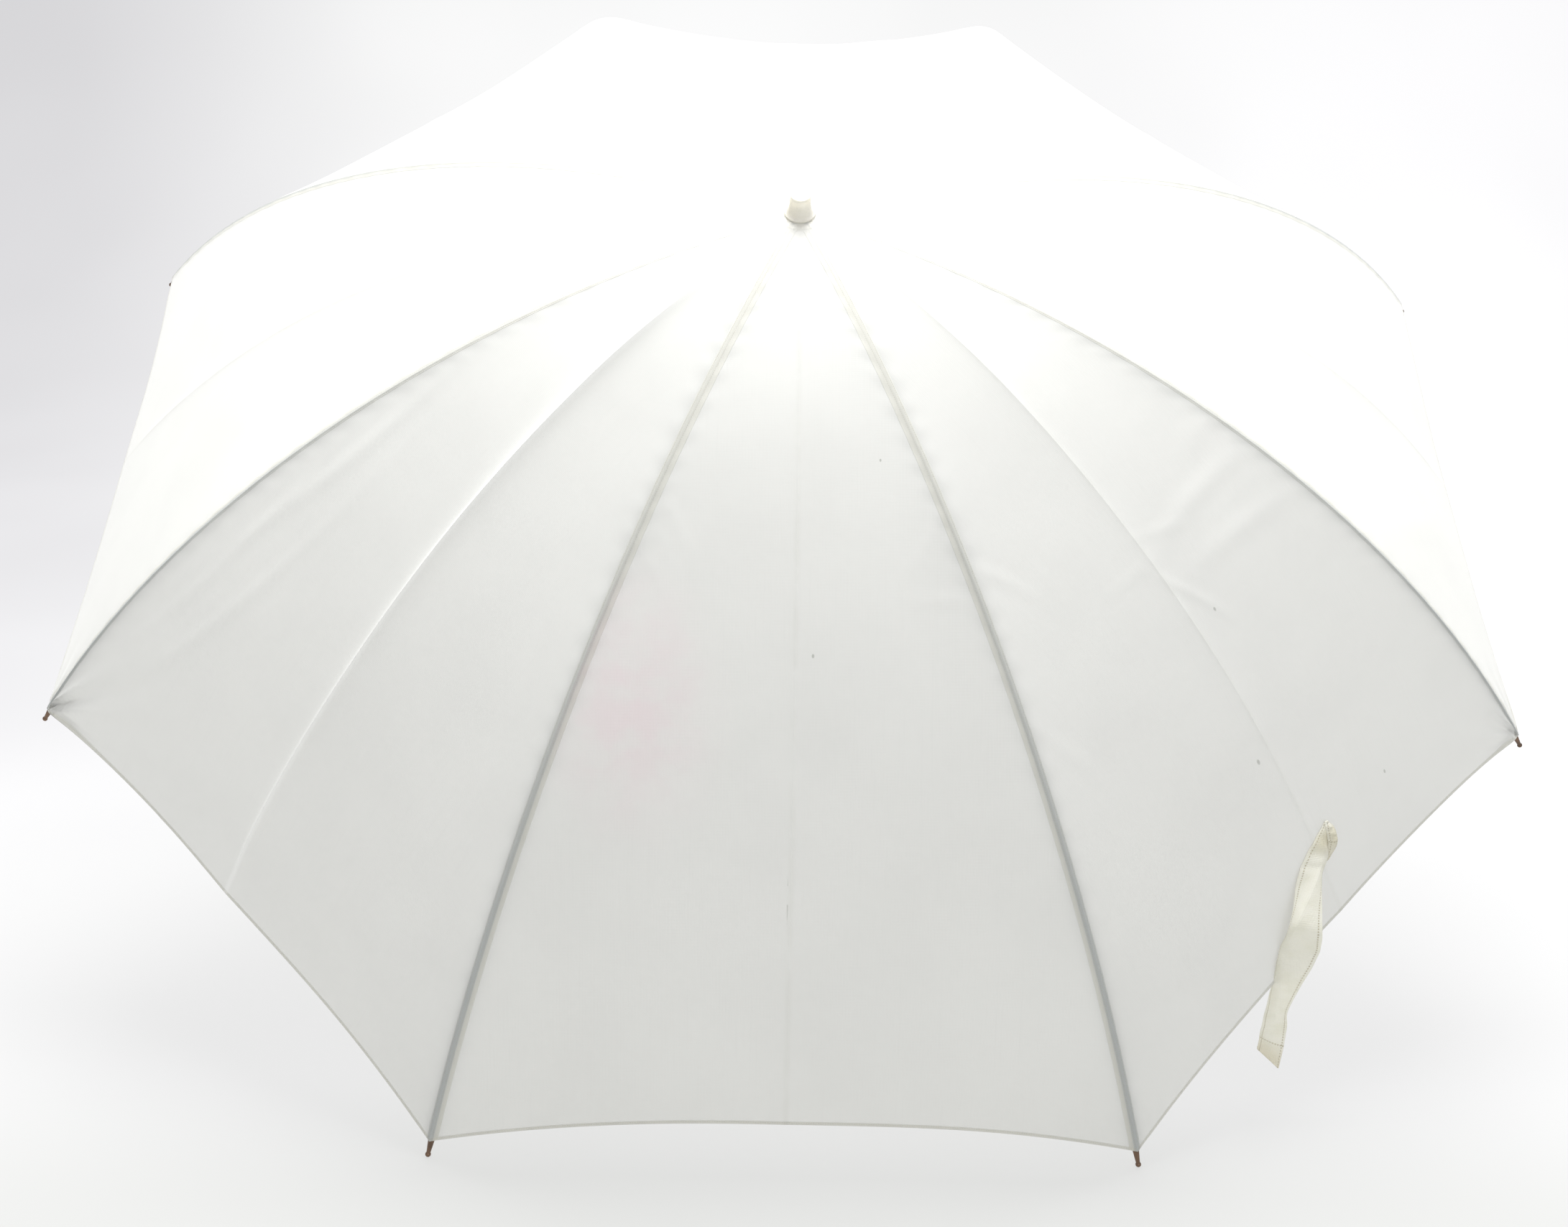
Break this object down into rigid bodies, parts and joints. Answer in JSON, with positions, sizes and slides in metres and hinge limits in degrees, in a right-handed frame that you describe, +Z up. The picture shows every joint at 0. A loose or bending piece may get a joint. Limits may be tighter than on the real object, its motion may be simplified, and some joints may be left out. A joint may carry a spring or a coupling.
{
  "type": "umbrella reflector",
  "caption": "Open white photographic umbrella: ribbed cloth dome on a slim steel shaft, with a sliding runner, spring catch and tie strap. It diffuses or bounces light.",
  "frame": {"origin": "bottom centre of the open umbrella's box as it lies on a floor, resting on its two front rib tips and the end of its shaft", "axes": "+Z up from the floor; +X across the canopy, to the right seen from the ferrule's side; the ferrule points up and towards -Y, and the shaft runs down and towards +Y"},
  "size_m": [0.8714, 0.673, 0.5833],
  "materials": {
    "steel_tube": "satin nickel-plated tube",
    "black_rubber": "matte",
    "steel": "plain bright wire",
    "rib_steel": "zinc-plated sheet steel",
    "cream_plastic": "semi-gloss, slightly yellowed",
    "canopy_cloth": "translucent white satin-weave nylon",
    "strap_cloth": "yellowed white nylon",
    "bronze_tip": "darkened bronze-coloured metal"
  },
  "bodies": {
    "shaft": {"shaft": "steel_tube", "end_cap": "black_rubber", "stop_pin": "steel", "stop_ring": "steel", "crown_notch": "cream_plastic", "crown_wire": "steel", "canopy_centre": "canopy_cloth", "ferrule": "cream_plastic"},
    "runner": {"runner": "cream_plastic", "runner_wire": "steel"},
    "top_catch": {"top_catch": "steel"},
    "rib_1": {"rib_1": "rib_steel", "rib_tip_1": "bronze_tip", "rib_rivet_1": "steel"},
    "stretcher_1": {"stretcher_1": "rib_steel"},
    "gore_1_left": {"gore_1_left": "canopy_cloth"},
    "gore_8_right": {"gore_8_right": "canopy_cloth"},
    "rib_2": {"rib_2": "rib_steel", "rib_tip_2": "bronze_tip", "rib_rivet_2": "steel"},
    "stretcher_2": {"stretcher_2": "rib_steel"},
    "gore_2_left": {"gore_2_left": "canopy_cloth"},
    "gore_1_right": {"gore_1_right": "canopy_cloth"},
    "rib_3": {"rib_3": "rib_steel", "rib_tip_3": "bronze_tip", "rib_rivet_3": "steel"},
    "stretcher_3": {"stretcher_3": "rib_steel"},
    "gore_3_left": {"gore_3_left": "canopy_cloth"},
    "gore_2_right": {"gore_2_right": "canopy_cloth", "tie_strap": "strap_cloth"},
    "rib_4": {"rib_4": "rib_steel", "rib_tip_4": "bronze_tip", "rib_rivet_4": "steel"},
    "stretcher_4": {"stretcher_4": "rib_steel"},
    "gore_4_left": {"gore_4_left": "canopy_cloth"},
    "gore_3_right": {"gore_3_right": "canopy_cloth"},
    "rib_5": {"rib_5": "rib_steel", "rib_tip_5": "bronze_tip", "rib_rivet_5": "steel"},
    "stretcher_5": {"stretcher_5": "rib_steel"},
    "gore_5_left": {"gore_5_left": "canopy_cloth"},
    "gore_4_right": {"gore_4_right": "canopy_cloth"},
    "rib_6": {"rib_6": "rib_steel", "rib_tip_6": "bronze_tip", "rib_rivet_6": "steel"},
    "stretcher_6": {"stretcher_6": "rib_steel"},
    "gore_6_left": {"gore_6_left": "canopy_cloth"},
    "gore_5_right": {"gore_5_right": "canopy_cloth"},
    "rib_7": {"rib_7": "rib_steel", "rib_tip_7": "bronze_tip", "rib_rivet_7": "steel"},
    "stretcher_7": {"stretcher_7": "rib_steel"},
    "gore_7_left": {"gore_7_left": "canopy_cloth"},
    "gore_6_right": {"gore_6_right": "canopy_cloth"},
    "rib_8": {"rib_8": "rib_steel", "rib_tip_8": "bronze_tip", "rib_rivet_8": "steel"},
    "stretcher_8": {"stretcher_8": "rib_steel"},
    "gore_8_left": {"gore_8_left": "canopy_cloth"},
    "gore_7_right": {"gore_7_right": "canopy_cloth"}
  },
  "joints": [
    {"name": "runner_slide", "type": "slide", "parent": "shaft", "child": "runner", "axis": [0, 0.6419, -0.7668], "range_m": [0, 0.33048]},
    {"name": "catch_press", "type": "slide", "parent": "shaft", "child": "top_catch", "axis": [0, -0.7668, -0.6419], "range_m": [0, 0.0016], "stiffness_N_per_m": 800},
    {"name": "rib_1_fold", "type": "hinge", "parent": "shaft", "child": "rib_1", "pos_m": [-0.00325, -0.15604, 0.45685], "axis": [0.9239, -0.2934, -0.2457], "range_deg": [0, 61.52]},
    {"name": "stretcher_1_fold", "type": "hinge", "parent": "rib_1", "child": "stretcher_1", "pos_m": [-0.08536, -0.2794, 0.2954], "axis": [0.9239, -0.2934, -0.2457], "range_deg": [-123.02, 0]},
    {"name": "gore_1_left_fold", "type": "hinge", "parent": "rib_1", "child": "gore_1_left", "pos_m": [-0.00325, -0.15604, 0.45685], "axis": [-0.6066, 0.7475, 0.2706], "range_deg": [0, 28.52], "deforming": ["gore_1_left"]},
    {"name": "gore_8_right_fold", "type": "hinge", "parent": "rib_1", "child": "gore_8_right", "pos_m": [-0.00325, -0.15604, 0.45685], "axis": [-0.9571, -0.2509, 0.1452], "range_deg": [0, 28.52], "deforming": ["gore_8_right"]},
    {"name": "rib_2_fold", "type": "hinge", "parent": "shaft", "child": "rib_2", "pos_m": [0.00325, -0.15604, 0.45685], "axis": [0.9239, 0.2934, 0.2457], "range_deg": [0, 61.52]},
    {"name": "stretcher_2_fold", "type": "hinge", "parent": "rib_2", "child": "stretcher_2", "pos_m": [0.08536, -0.2794, 0.2954], "axis": [0.9239, 0.2934, 0.2457], "range_deg": [-123.02, 0]},
    {"name": "gore_2_left_fold", "type": "hinge", "parent": "rib_2", "child": "gore_2_left", "pos_m": [0.00325, -0.15604, 0.45685], "axis": [-0.9571, 0.2509, -0.1452], "range_deg": [0, 28.52], "deforming": ["gore_2_left"]},
    {"name": "gore_1_right_fold", "type": "hinge", "parent": "rib_2", "child": "gore_1_right", "pos_m": [0.00325, -0.15604, 0.45685], "axis": [-0.6066, -0.7475, -0.2706], "range_deg": [0, 28.52], "deforming": ["gore_1_right"]},
    {"name": "rib_3_fold", "type": "hinge", "parent": "shaft", "child": "rib_3", "pos_m": [0.00785, -0.15251, 0.4598], "axis": [0.3827, 0.7084, 0.5931], "range_deg": [0, 61.52]},
    {"name": "stretcher_3_fold", "type": "hinge", "parent": "rib_3", "child": "stretcher_3", "pos_m": [0.20608, -0.18684, 0.3729], "axis": [0.3827, 0.7084, 0.5931], "range_deg": [-123.02, 0]},
    {"name": "gore_3_left_fold", "type": "hinge", "parent": "rib_3", "child": "gore_3_left", "pos_m": [0.00785, -0.15251, 0.4598], "axis": [-0.7469, -0.2902, -0.5983], "range_deg": [0, 28.52], "deforming": ["gore_3_left"]},
    {"name": "gore_2_right_fold", "type": "hinge", "parent": "rib_3", "child": "gore_2_right", "pos_m": [0.00785, -0.15251, 0.4598], "axis": [0.0992, -0.9087, -0.4055], "range_deg": [0, 28.52], "deforming": ["gore_2_right", "tie_strap"]},
    {"name": "rib_4_fold", "type": "hinge", "parent": "shaft", "child": "rib_4", "pos_m": [0.00785, -0.14752, 0.46398], "axis": [-0.3827, 0.7084, 0.5931], "range_deg": [0, 61.52]},
    {"name": "stretcher_4_fold", "type": "hinge", "parent": "rib_4", "child": "stretcher_4", "pos_m": [0.20608, -0.05594, 0.48249], "axis": [-0.3827, 0.7084, 0.5931], "range_deg": [-123.02, 0]},
    {"name": "gore_4_left_fold", "type": "hinge", "parent": "rib_4", "child": "gore_4_left", "pos_m": [0.00785, -0.14752, 0.46398], "axis": [-0.0992, -0.5589, -0.8233], "range_deg": [0, 28.52], "deforming": ["gore_4_left"]},
    {"name": "gore_3_right_fold", "type": "hinge", "parent": "rib_4", "child": "gore_3_right", "pos_m": [0.00785, -0.14752, 0.46398], "axis": [0.7469, -0.64, -0.1805], "range_deg": [0, 28.52], "deforming": ["gore_3_right"]},
    {"name": "rib_5_fold", "type": "hinge", "parent": "shaft", "child": "rib_5", "pos_m": [0.00325, -0.14399, 0.46693], "axis": [-0.9239, 0.2934, 0.2457], "range_deg": [0, 61.52]},
    {"name": "stretcher_5_fold", "type": "hinge", "parent": "rib_5", "child": "stretcher_5", "pos_m": [0.08536, 0.03662, 0.55998], "axis": [-0.9239, 0.2934, 0.2457], "range_deg": [-123.02, 0]},
    {"name": "gore_5_left_fold", "type": "hinge", "parent": "rib_5", "child": "gore_5_left", "pos_m": [0.00325, -0.14399, 0.46693], "axis": [0.6066, -0.3978, -0.6883], "range_deg": [0, 28.52], "deforming": ["gore_5_left"]},
    {"name": "gore_4_right_fold", "type": "hinge", "parent": "rib_5", "child": "gore_4_right", "pos_m": [0.00325, -0.14399, 0.46693], "axis": [0.9571, -0.0988, 0.2726], "range_deg": [0, 28.52], "deforming": ["gore_4_right"]},
    {"name": "rib_6_fold", "type": "hinge", "parent": "shaft", "child": "rib_6", "pos_m": [-0.00325, -0.14399, 0.46693], "axis": [-0.9239, -0.2934, -0.2457], "range_deg": [0, 61.52]},
    {"name": "stretcher_6_fold", "type": "hinge", "parent": "rib_6", "child": "stretcher_6", "pos_m": [-0.08536, 0.03662, 0.55998], "axis": [-0.9239, -0.2934, -0.2457], "range_deg": [-123.02, 0]},
    {"name": "gore_6_left_fold", "type": "hinge", "parent": "rib_6", "child": "gore_6_left", "pos_m": [-0.00325, -0.14399, 0.46693], "axis": [0.9571, 0.0988, -0.2726], "range_deg": [0, 28.52], "deforming": ["gore_6_left"]},
    {"name": "gore_5_right_fold", "type": "hinge", "parent": "rib_6", "child": "gore_5_right", "pos_m": [-0.00325, -0.14399, 0.46693], "axis": [0.6066, 0.3978, 0.6883], "range_deg": [0, 28.52], "deforming": ["gore_5_right"]},
    {"name": "rib_7_fold", "type": "hinge", "parent": "shaft", "child": "rib_7", "pos_m": [-0.00785, -0.14752, 0.46398], "axis": [-0.3827, -0.7084, -0.5931], "range_deg": [0, 61.52]},
    {"name": "stretcher_7_fold", "type": "hinge", "parent": "rib_7", "child": "stretcher_7", "pos_m": [-0.20608, -0.05594, 0.48249], "axis": [-0.3827, -0.7084, -0.5931], "range_deg": [-123.02, 0]},
    {"name": "gore_7_left_fold", "type": "hinge", "parent": "rib_7", "child": "gore_7_left", "pos_m": [-0.00785, -0.14752, 0.46398], "axis": [0.7469, 0.64, 0.1805], "range_deg": [0, 28.52], "deforming": ["gore_7_left"]},
    {"name": "gore_6_right_fold", "type": "hinge", "parent": "rib_7", "child": "gore_6_right", "pos_m": [-0.00785, -0.14752, 0.46398], "axis": [-0.0992, 0.5589, 0.8233], "range_deg": [0, 28.52], "deforming": ["gore_6_right"]},
    {"name": "rib_8_fold", "type": "hinge", "parent": "shaft", "child": "rib_8", "pos_m": [-0.00785, -0.15251, 0.4598], "axis": [0.3827, -0.7084, -0.5931], "range_deg": [0, 61.52]},
    {"name": "stretcher_8_fold", "type": "hinge", "parent": "rib_8", "child": "stretcher_8", "pos_m": [-0.20608, -0.18684, 0.3729], "axis": [0.3827, -0.7084, -0.5931], "range_deg": [-123.02, 0]},
    {"name": "gore_8_left_fold", "type": "hinge", "parent": "rib_8", "child": "gore_8_left", "pos_m": [-0.00785, -0.15251, 0.4598], "axis": [0.0992, 0.9087, 0.4055], "range_deg": [0, 28.52], "deforming": ["gore_8_left"]},
    {"name": "gore_7_right_fold", "type": "hinge", "parent": "rib_8", "child": "gore_7_right", "pos_m": [-0.00785, -0.15251, 0.4598], "axis": [-0.7469, 0.2902, 0.5983], "range_deg": [0, 28.52], "deforming": ["gore_7_right"]}
  ],
  "couplings": [
    {"joint": "rib_1_fold", "follows": "runner_slide", "rad_per_m": 3.248},
    {"joint": "stretcher_1_fold", "follows": "runner_slide", "rad_per_m": -6.4959},
    {"joint": "gore_1_left_fold", "follows": "runner_slide", "rad_per_m": 1.5049},
    {"joint": "gore_8_right_fold", "follows": "runner_slide", "rad_per_m": 1.5049},
    {"joint": "rib_2_fold", "follows": "runner_slide", "rad_per_m": 3.248},
    {"joint": "stretcher_2_fold", "follows": "runner_slide", "rad_per_m": -6.4959},
    {"joint": "gore_2_left_fold", "follows": "runner_slide", "rad_per_m": 1.5049},
    {"joint": "gore_1_right_fold", "follows": "runner_slide", "rad_per_m": 1.5049},
    {"joint": "rib_3_fold", "follows": "runner_slide", "rad_per_m": 3.248},
    {"joint": "stretcher_3_fold", "follows": "runner_slide", "rad_per_m": -6.4959},
    {"joint": "gore_3_left_fold", "follows": "runner_slide", "rad_per_m": 1.5049},
    {"joint": "gore_2_right_fold", "follows": "runner_slide", "rad_per_m": 1.5049},
    {"joint": "rib_4_fold", "follows": "runner_slide", "rad_per_m": 3.248},
    {"joint": "stretcher_4_fold", "follows": "runner_slide", "rad_per_m": -6.4959},
    {"joint": "gore_4_left_fold", "follows": "runner_slide", "rad_per_m": 1.5049},
    {"joint": "gore_3_right_fold", "follows": "runner_slide", "rad_per_m": 1.5049},
    {"joint": "rib_5_fold", "follows": "runner_slide", "rad_per_m": 3.248},
    {"joint": "stretcher_5_fold", "follows": "runner_slide", "rad_per_m": -6.4959},
    {"joint": "gore_5_left_fold", "follows": "runner_slide", "rad_per_m": 1.5049},
    {"joint": "gore_4_right_fold", "follows": "runner_slide", "rad_per_m": 1.5049},
    {"joint": "rib_6_fold", "follows": "runner_slide", "rad_per_m": 3.248},
    {"joint": "stretcher_6_fold", "follows": "runner_slide", "rad_per_m": -6.4959},
    {"joint": "gore_6_left_fold", "follows": "runner_slide", "rad_per_m": 1.5049},
    {"joint": "gore_5_right_fold", "follows": "runner_slide", "rad_per_m": 1.5049},
    {"joint": "rib_7_fold", "follows": "runner_slide", "rad_per_m": 3.248},
    {"joint": "stretcher_7_fold", "follows": "runner_slide", "rad_per_m": -6.4959},
    {"joint": "gore_7_left_fold", "follows": "runner_slide", "rad_per_m": 1.5049},
    {"joint": "gore_6_right_fold", "follows": "runner_slide", "rad_per_m": 1.5049},
    {"joint": "rib_8_fold", "follows": "runner_slide", "rad_per_m": 3.248},
    {"joint": "stretcher_8_fold", "follows": "runner_slide", "rad_per_m": -6.4959},
    {"joint": "gore_8_left_fold", "follows": "runner_slide", "rad_per_m": 1.5049},
    {"joint": "gore_7_right_fold", "follows": "runner_slide", "rad_per_m": 1.5049}
  ]
}
